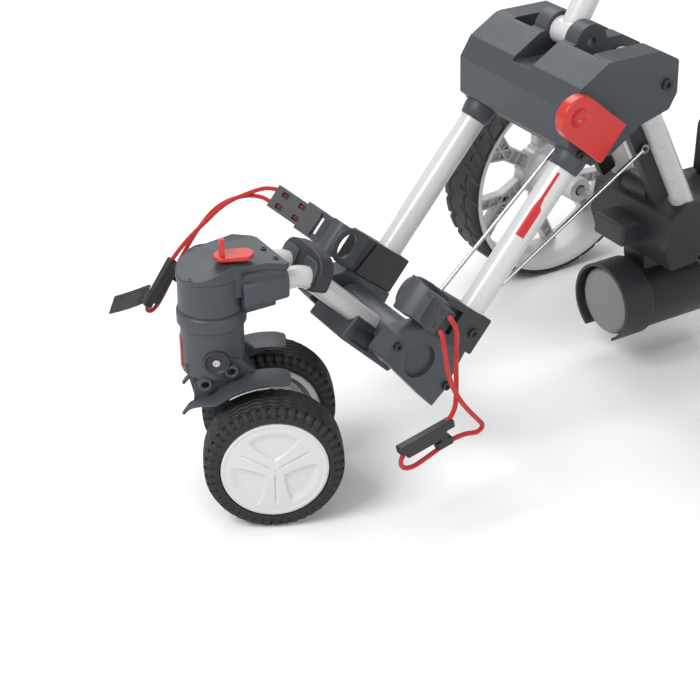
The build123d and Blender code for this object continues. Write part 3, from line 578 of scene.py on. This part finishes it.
def make_front_rim(name, side):
    """Wheel body and its domed cap in one outline, spun about the axle."""
    face, back_x = CAP_FACE, 4 - FRONT_HALF
    back_line = [(back_x, 52), (-6, 50), (-6, 12), (-22, 12), (-22, 6.3), (face - 8, 6.3), (face - 8, 0.4),
                 (face, 0.4)]
    face_line = [(face, 0.4), (face, 54.5), (face + 0.8, 56.5), (face - 0.2, 59.3), (face - 4, CAP_RIM),
                 (back_x, CAP_RIM)]
    outline = [(x, r) for x, r in spread_out(back_line, 9) if x < face - 0.5] + [(face, 0.4)]
    outline += [(x, r) for x, r in spread_out(face_line, 0.8) if x > face - 5 and r > 0.4]
    outline.append((back_x, CAP_RIM))
    place = wheel_place(f"front_tyre_{name}", side, STEER)
    made = lathe(f"front_cap_{name}", outline, 240, "wheel_white", f"front_wheel_{name}", "wheel_plastic",
                 place, cap_relief, 40)
    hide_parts(f"front_rim_{name}")


SPOKES = 6
SPOKE_LEAN = radians(27)                  # each arm of the fork from the trunk's line


def spoke_blocks():
    """One forked spoke's blocks (centre, size, turn): a trunk and two arms, with flanges and cross ribs."""
    blocks = []
    trunk = [((16, 0, 52), (4, 20, 44)), ((14, 9.5, 52), (15, 3, 46)), ((14, -9.5, 52), (15, 3, 46))]
    trunk += [((14, 0, z), (12, 19, 2.2)) for z in (38, 50, 62)]
    blocks += [(Vector(centre), size, 0.0) for centre, size in trunk]
    for lean in (-1, 1):
        turn = lean * SPOKE_LEAN
        spin = Matrix.Rotation(turn, 3, "X")
        root = Vector((16, 0, 68))
        arm = [((0, 0, 32), (4, 15, 66)), ((-1, 7, 32), (16, 2.6, 66)), ((-1, -7, 32), (16, 2.6, 66))]
        arm += [((-1, 0, z), (13, 14, 2.0)) for z in (14, 28, 42, 54)]
        for centre, size in arm:
            blocks.append((root + spin @ Vector(centre), size, turn))
    return blocks


def make_rear_rim(name, side):
    """Barrel, hub and knurled collar spun about the axle, and the forked spokes."""
    half = REAR_HALF
    place = wheel_place(f"rear_tyre_{name}", side)
    body, slot = f"rear_wheel_{name}", "wheel_plastic"
    barrel = [(-half + 0.5, 141), (-half, 138.5), (-half + 0.5, 135), (-half + 5, 131.5), (-10, 128.5),
              (12, 125), (26, 126.5), (half - 4, 132), (half - 0.5, 136), (half, 139), (half - 0.5, 141)]
    made = lathe(f"rim_barrel_{name}", barrel, 180, "wheel_white", body, slot, place)
    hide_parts(f"rear_rim_{name}")
    drum = [(-83, 8), (-83, 17), (-81.5, 18), (-44, 18), (-40, 21), (-34, 30), (-4, 33), (-2, 35), (21, 35),
            (23, 33), (23.5, 12), (21, 8)]
    lathe(f"rim_hub_{name}", drum, 96, "wheel_white", body, slot, place)
    collar = [(-2, 34), (-2, 37.5), (20, 37.5), (20, 34)]
    lathe(f"rim_collar_{name}", collar, 96, "wheel_white", body, slot, place,
          lambda x, r, t: (x, r + (1.6 * notch(18 * t / tau, 0.3, 0.7) if r > 36 else 0)))
    verts, faces = [], []
    for k in range(SPOKES):
        around = Matrix.Rotation(tau * k / SPOKES, 3, "X")
        for centre, size, turn in spoke_blocks():
            spin = Matrix.Rotation(turn, 3, "X")
            add_block(verts, faces, size, lambda corner, c=centre, t=spin, u=around: u @ (c + t @ corner))
    rounded(piece(f"rim_spokes_{name}", verts, faces, "wheel_white", body, slot, place), 0.9, 2)


for wheel_name, wheel_side in SIDES:
    make_front_tyre(wheel_name, wheel_side)
    make_front_rim(wheel_name, wheel_side)
    make_rear_tyre(wheel_name, wheel_side)
    make_rear_rim(wheel_name, wheel_side)


# ---------------------------------------------------------------- moulded parts
def slab(name, outline, put, low, high, look, body, slot, width=1.0, segments=3, soft=SHARP_ANGLE):
    """A flat outline given a thickness, with rounded edges; put(a, b, depth) gives row points."""
    count = len(outline)
    verts = [put(a, b, low) for a, b in outline] + [put(a, b, high) for a, b in outline]
    faces = [tuple(range(count)), tuple(range(2 * count - 1, count - 1, -1))]
    faces += [(k, (k + 1) % count, count + (k + 1) % count, count + k) for k in range(count)]
    return rounded(piece(name, verts, faces, look, body, slot, soft=soft), width, segments)


def rounded_outline(points, radius, steps=6):
    """The closed polygon with its corners rounded."""
    out, count = [], len(points)
    for k in range(count):
        here = Vector(points[k])
        before, after = Vector(points[k - 1]) - here, Vector(points[(k + 1) % count]) - here
        cut = min(radius, before.length * 0.48, after.length * 0.48)
        a, b = here + before.normalized() * cut, here + after.normalized() * cut
        for j in range(steps + 1):
            t = j / steps
            out.append(tuple(a * (1 - t) ** 2 + here * 2 * t * (1 - t) + b * t ** 2))
    return out


def band(name, line, widths, put, thickness, look, body, slot, rows=12):
    """A curved strip: line(t) gives a place, widths(t) its two edges, and put makes row points."""
    verts, faces, columns = [], [], 40
    for i in range(columns + 1):
        t = i / columns
        place, (low, high) = line(t), widths(t)
        for j in range(rows + 1):
            verts.append(put(place, low + (high - low) * j / rows, t, 2 * j / rows - 1))
    for i in range(columns):
        for j in range(rows):
            a = i * (rows + 1) + j
            faces.append((a, a + 1, a + rows + 2, a + rows + 1))
    made = piece(name, verts, faces, look, body, slot, soft=60)
    thick = made.modifiers.new("thickness", "SOLIDIFY")
    thick.thickness = thickness * MM
    thick.offset = 0
    return rounded(made, thickness * 0.25, 2, 40)


def screw(name, place, facing, radius, body, look="black_plastic", slot="black_plastic"):
    """A socket-head screw: a low crowned head with a hexagonal recess, seen end on."""
    loop = [(-1.0, 0.3), (-1.0, radius * 0.42), (0.35, radius * 0.52), (0.5, radius * 0.7), (0.3, radius),
            (-0.8, radius), (-1.6, radius * 0.9), (-1.6, 0.3)]

    def socket(x, r, turn):
        hexed = 1.0 / cos(((turn + pi / 6) % (pi / 3)) - pi / 6)
        return x, r * (hexed * 0.93 if 0.4 < r / radius < 0.6 else 1.0)

    return lathe(name, loop, 36, look, body, slot, aimed(place, facing), socket)


YOKE = Matrix.Translation(at(0, SWIVEL_Y, 0)) @ Matrix.Rotation(STEER, 4, "Z")


def in_yoke(x, y, z):
    return YOKE @ Vector((x * MM, y * MM, z * MM))


GUARD_R, GUARD_FLARE, TRIM_R = 94.5, 14.0, 92.6        # from the front axle


def make_fender(name, side):
    """Mudguard: a band over the wheel that flares out at its front tip, with a bossed root."""
    body, slot = "yoke", "grey_plastic"

    def line(t):
        return 77 + 77 * t

    def widths(t):
        tip = step_up(t, 0.62, 1.0)
        return 23 + 5 * tip, 58 - 22 * tip

    def put(angle, x, t, s):
        corner = 1 - (1 - s ** 6) ** 0.5
        angle += (6 * corner if t < 0.5 else -7 * corner) * abs(2 * t - 1) ** 4
        radius = GUARD_R + GUARD_FLARE * step_up(t, 0.68, 1.0) - 1.2 * s * s
        turn = radians(angle)
        return in_yoke(side * x, TRAIL + radius * cos(turn), FRONT_R + radius * sin(turn))

    made = band(f"mudguard_{name}", line, widths, put, 2.6, "slate", body, slot)
    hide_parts(f"fender_{name}")
    root = [(-24, 132), (-22, 160), (-12, 173), (8, 186), (26, 190), (46, 171), (62, 170), (44, 162),
            (16, 152), (-6, 138)]
    slab(f"mudguard_root_{name}", rounded_outline(root, 5), lambda a, b, d: in_yoke(side * d, a, b),
         23.5, 28.5, "slate", body, slot, 0.8)
    for k, (y, z) in enumerate(((-10, 163), (19, 178))):
        loop = [(-8, 4.2), (5.5, 4.2), (6.2, 5), (6.2, 7), (5.4, 7.8), (-6, 8.6), (-8, 9.4)]
        outward = Matrix.Rotation(STEER + (0 if side > 0 else pi), 4, "Z")
        place = Matrix.Translation(in_yoke(side * 31, y, z)) @ outward
        lathe(f"mudguard_boss_{name}_{k}", loop, 48, "slate", body, slot, place)

    def strip_put(angle, x, t, s):
        turn = radians(angle)
        return in_yoke(side * x, TRAIL + TRIM_R * cos(turn), FRONT_R + TRIM_R * sin(turn))

    band(f"mudguard_trim_{name}", lambda t: 92 + 28 * t, lambda t: (58.5, 62), strip_put, 1.2, "steel", body,
         slot, 2)


HEAD_TOP, HEAD_R = 300.0, 37.0
HEAD_FLAT = (-662.0, -612.0)              # the flat part of its top, from front to rear


def head_top(y):
    """Height of the steering head's top, which slopes down to its front and rear."""
    return HEAD_TOP - 0.40 * max(0.0, HEAD_FLAT[0] - y) - 0.36 * max(0.0, y - HEAD_FLAT[1])


def make_head():
    """The steering head: sloped cap, skirt, drum, tube sockets, keel, side ribs and screws."""
    body, slot = "front_fork", "grey_plastic"
    plan = [(HEAD_R * cos(radians(a)), SWIVEL_Y + HEAD_R * sin(radians(a))) for a in range(-200, 21, 10)]
    plan += [(41, -612), (41, -588), (36, -583), (-36, -583), (-41, -588), (-41, -612)]

    def cap(x, y, depth):
        return at(x, y, head_top(y) if depth else min(284.0, head_top(y) - 7))

    top = slab("head_cap", plan, cap, 0, 1, "slate", body, slot, 1.6, 4)
    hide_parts("head_shell")
    inner = [(x * 0.955, SWIVEL_Y + (y - SWIVEL_Y) * 0.955) for x, y in plan]
    slab("head_skirt", inner, lambda x, y, d: at(x, y, d), 262, 286, "slate", body, slot, 1.0)
    drum = [(225.6, 10), (225.6, 37.4), (227, 38.4), (240, 38.4), (241.5, 37.6), (242.5, 36.3), (262, 36.0),
            (284, 36.0), (284, 10)]
    upright = Matrix.Translation(at(0, SWIVEL_Y, 0)) @ Matrix.Rotation(-pi / 2, 4, "Y")
    lathe("head_drum", drum, 144, "slate", body, slot, upright)
    groove = [(243.2, 36.0), (243.2, 36.9), (244.6, 36.9), (244.6, 36.0)]
    lathe("head_seam", groove, 144, "black_plastic", body, slot, upright)
    socket = [(-40, 249), (-40, 282), (40, 282), (40, 249), (30, 245), (-30, 245)]
    slab("head_sockets", rounded_outline(socket, 13), lambda x, z, d: at(x, d, z), -640, -584.5,
         "slate_smooth", body, slot, 1.6, 4)
    keel = [(-22, 232), (-22, 250), (22, 250), (22, 232)]
    slab("head_keel", rounded_outline(keel, 5), lambda x, z, d: at(x, d, z), -630, -592, "slate", body, slot,
         1.5)
    for name, side in reversed(SIDES):
        rib = [(-640, 287), (-640, 290.5), (-612, 291.5), (-588, 283), (-588, 279)]
        slab(f"head_rib_{name}", rib, lambda y, z, d, k=side: at(k * d, y, z), 36, 41.8, "slate", body, slot,
             0.8)
    for k, (x, y) in enumerate(((15, -691), (-2, -594), (24, -593))):
        screw(f"head_screw_{k}", at(x, y, head_top(y) + 0.1), (0, 0, 1), 3.2, body)


def make_clip():
    """Clip that holds the two fork tubes side by side at their bend."""
    origin = at(0, -541, 261)
    along, up = Vector((0, 0.92, -0.39)), Vector((0, 0.39, 0.92))      # down the tubes, and off them

    def put(x, n, depth):
        return origin + Vector((x * MM, 0, 0)) + up * n * MM + along * depth * MM

    outer = [(-42, -17), (-43, 6), (-34, 19), (-14, 23), (14, 23), (34, 19), (43, 6), (42, -17), (30, -22),
             (-30, -22)]
    made = slab("fork_clip", rounded_outline(outer, 8), put, -9, 9, "charcoal", "front_fork", "grey_plastic",
                1.8, 4)
    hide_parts("tube_clip")
    for name, side in reversed(SIDES):
        rim = [(side * 8, -12), (side * 8, 14), (side * 32, 13), (side * 37, 4), (side * 36, -14)]
        slab(f"fork_clip_pad_{name}", rounded_outline(rim, 5), put, -11.5, 11.5, "slate", "front_fork",
             "grey_plastic", 1.2)


def make_arm(name, side):
    """Bag arm: an arched eye at the root, a swept band and two rails up to the anchor plate."""
    body, slot = "frame", "grey_plastic"
    outer = rounded_outline([(-47, 46), (-48, 74), (-40, 90), (-24, 95), (-8, 92), (-1, 78), (-1, 46)], 12, 8)
    centre, half_wide, half_high = Vector((-24, 74)), 16.5, 11.5      # the eye's hole
    count = len(outer)
    inner = []
    for a, b in outer:
        turn = atan2(b - centre.y, a - centre.x)
        inner.append((centre.x + half_wide * cos(turn), centre.y + half_high * sin(turn)))
    verts, faces = [], []
    for depth in (68.5, 75.0):
        for ring in (outer, inner):
            verts += [side_place(a, b, side * depth) for a, b in ring]
    for k in range(count):
        n = (k + 1) % count
        for p, q in ((0, 1), (1, 3), (3, 2), (2, 0)):
            faces.append((p * count + k, p * count + n, q * count + n, q * count + k))
    ring = rounded(piece(f"arm_eye_{name}", verts, faces, "slate", body, slot), 1.4, 3)
    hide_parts(f"bag_arm_{name}")
    path = [(71.7, 66), (72.5, 84), (79, 92.5), (92, 92), (104, 87), (124, 84)]

    def line(t):
        k = min(len(path) - 2, int(t * (len(path) - 1)))
        f = t * (len(path) - 1) - k
        p0, p1, p2, p3 = (Vector(path[min(max(k + d, 0), len(path) - 1)]) for d in (-1, 0, 1, 2))
        return 0.5 * (2 * p1 + (p2 - p0) * f + (2 * p0 - 5 * p1 + 4 * p2 - p3) * f * f
                      + (3 * p1 - p0 - 3 * p2 + p3) * f ** 3)

    def widths(t):
        pinch = step_up(t, 0.45, 1.0)
        return -45 + 3 * pinch, -3 - 3 * pinch

    band(f"arm_band_{name}", lambda t: line(0.2 + 0.72 * t), widths,
         lambda p, along, t, s: side_place(along, p.y - 0.6 * s * s, side * p.x), 5.5, "slate", body, slot)
    for k, along in enumerate((-43, -13)):
        rail = [(106, 82), (126, 80), (150, 93), (147, 99), (124, 88.5), (106, 90)]
        slab(f"arm_rail_{name}_{k}", rounded_outline(rail, 3), lambda x, n, d: side_place(d, n, side * x),
             along, along + 7.5, "slate", body, slot, 1.0)


def make_knots(name, side):
    """The cord's ends inside the anchor plate, seen through its windows."""
    for k, along in enumerate((-31.5, -16.5)):
        loop = [(-24, 0.4), (-24, 2.2), (-22, 2.7), (20, 2.7), (22, 2.2), (22, 0.4)]
        start, end = side_place(along, 95.5, side * 143), side_place(along, 112, side * 176)
        lathe(f"cord_root_{name}_{k}", loop, 24, "cord_red", "frame", "cord_red",
              aimed((start + end) / 2, end - start))


for part_name, part_side in SIDES:
    make_fender(part_name, part_side)
    make_arm(part_name, part_side)
    make_knots(part_name, part_side)
make_head()
make_clip()


NECK_CUP_AT = (3, 190)    # in the yoke: y and z of the cup's middle


def make_neck_cup():
    """Round cup on each side of the yoke's neck, with a bright screw at its bottom."""
    for name, side in SIDES:
        facing = Matrix.Rotation(STEER, 3, "Z") @ Vector((side, 0, 0))
        place = aimed(in_yoke(side * 36.2, *NECK_CUP_AT), facing)
        cup = [(-6, 0.4), (-6, 15), (-1, 15), (1.8, 14), (2.2, 12.6), (1.4, 11.4), (-0.6, 10.5), (-0.8, 0.4)]
        lathe(f"neck_cup_{name}", cup, 64, "charcoal", "yoke", "grey_plastic", place)
        screw(f"neck_screw_{name}", in_yoke(side * 37.0, *NECK_CUP_AT), facing, 4.2, "yoke", "steel", "steel")


SLEEVE_SPAN = (186, 214)  # along the side tubes


def make_hub_collars():
    """Sleeves where the side tubes enter the upper hub."""
    for name, side in SIDES:
        start, end = (side_place(along, 0, side * SIDE_X) for along in SLEEVE_SPAN)
        sleeve = [(-13, SIDE_R + 0.1), (-13.6, SIDE_R + 1.2), (-12, SIDE_R + 2.6), (-2, SIDE_R + 4.2),
                  (14, SIDE_R + 4.6), (14, SIDE_R + 0.1)]
        lathe(f"hub_sleeve_{name}", sleeve, 72, "slate", "frame", "grey_plastic",
              aimed((start + end) / 2, end - start))


make_neck_cup()
make_hub_collars()


# ---------------------------------------------------------------- printed stripes
PRINT_LIFT = 0.12                         # the print stands this far off the tube's surface


def tube_print(name, x, rows):
    """A stripe on a side tube; rows are (along, middle turn, half width in mm)."""
    verts, faces, columns, radius = [], [], 8, SIDE_R + PRINT_LIFT
    for along, turn, half in rows:
        for j in range(columns + 1):
            angle = turn + (2 * j / columns - 1) * half / radius
            verts.append(side_place(along, radius * sin(angle), x + radius * cos(angle)))
    for i in range(len(rows) - 1):
        for j in range(columns):
            a = i * (columns + 1) + j
            faces.append((a, a + 1, a + columns + 2, a + columns + 1))
    return piece(name, verts, faces, "red_print", "frame", "red_plastic")


STRIPE_LEFT = [(96, radians(42), 5.6), (132, radians(42), 5.6), (146, radians(47), 1.9),
               (180, radians(47), 1.7)]
LINE_RIGHT = [(40, radians(122), 0.9), (150, radians(122), 0.9)]
tube_print("stripe_left", SIDE_X, STRIPE_LEFT)
tube_print("line_right", -SIDE_X, LINE_RIGHT)


# ---------------------------------------------------------------- stage
FLOOR_REACH, FLOOR_TONE, WORLD_LIGHT = 14.0, 0.90, 0.62
SOFTBOXES = [((0.4, -2.8, 3.2), 1.8, 110.0), ((3.4, 0.4, 1.6), 1.4, 26.0), ((-2.4, 0.6, 3.0), 2.2, 50.0)]


def make_stage():
    """Pale floor, pale world, and soft lights (place, size, power) aimed at the trolley."""
    mesh = bpy.data.meshes.new("floor")
    reach = FLOOR_REACH
    mesh.from_pydata([(-reach, -reach, 0), (reach, -reach, 0), (reach, reach, 0), (-reach, reach, 0)], [],
                     [(0, 1, 2, 3)])
    floor = bpy.data.objects.new("floor", mesh)
    bpy.context.scene.collection.objects.link(floor)
    paper = bpy.data.materials.new("paper")
    paper.use_nodes = True
    shader = paper.node_tree.nodes["Principled BSDF"]
    shader.inputs["Base Color"].default_value = (FLOOR_TONE, FLOOR_TONE, FLOOR_TONE, 1)
    shader.inputs["Roughness"].default_value = 0.9
    mesh.materials.append(paper)
    floor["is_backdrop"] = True
    world = bpy.data.worlds.new("studio")
    world.use_nodes = True
    world.node_tree.nodes["Background"].inputs["Color"].default_value = (1.0, 1.0, 1.0, 1)
    world.node_tree.nodes["Background"].inputs["Strength"].default_value = WORLD_LIGHT
    bpy.context.scene.world = world
    bpy.context.scene.view_settings.view_transform = "Standard"
    aim = at(0, -330, 300)
    for k, (place, size, power) in enumerate(SOFTBOXES):
        data = bpy.data.lights.new(f"softbox_{k}", "AREA")
        data.size = size
        data.energy = power
        light = bpy.data.objects.new(f"softbox_{k}", data)
        bpy.context.scene.collection.objects.link(light)
        light.location = place
        light.rotation_euler = (Vector(place) - aim).to_track_quat("Z", "Y").to_euler()


make_stage()


def write_sizes():
    boxes = {"cad": cad_box, "visual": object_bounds()}
    plain = {key: [[float(v) for v in corner] for corner in box] for key, box in boxes.items()}


write_sizes()
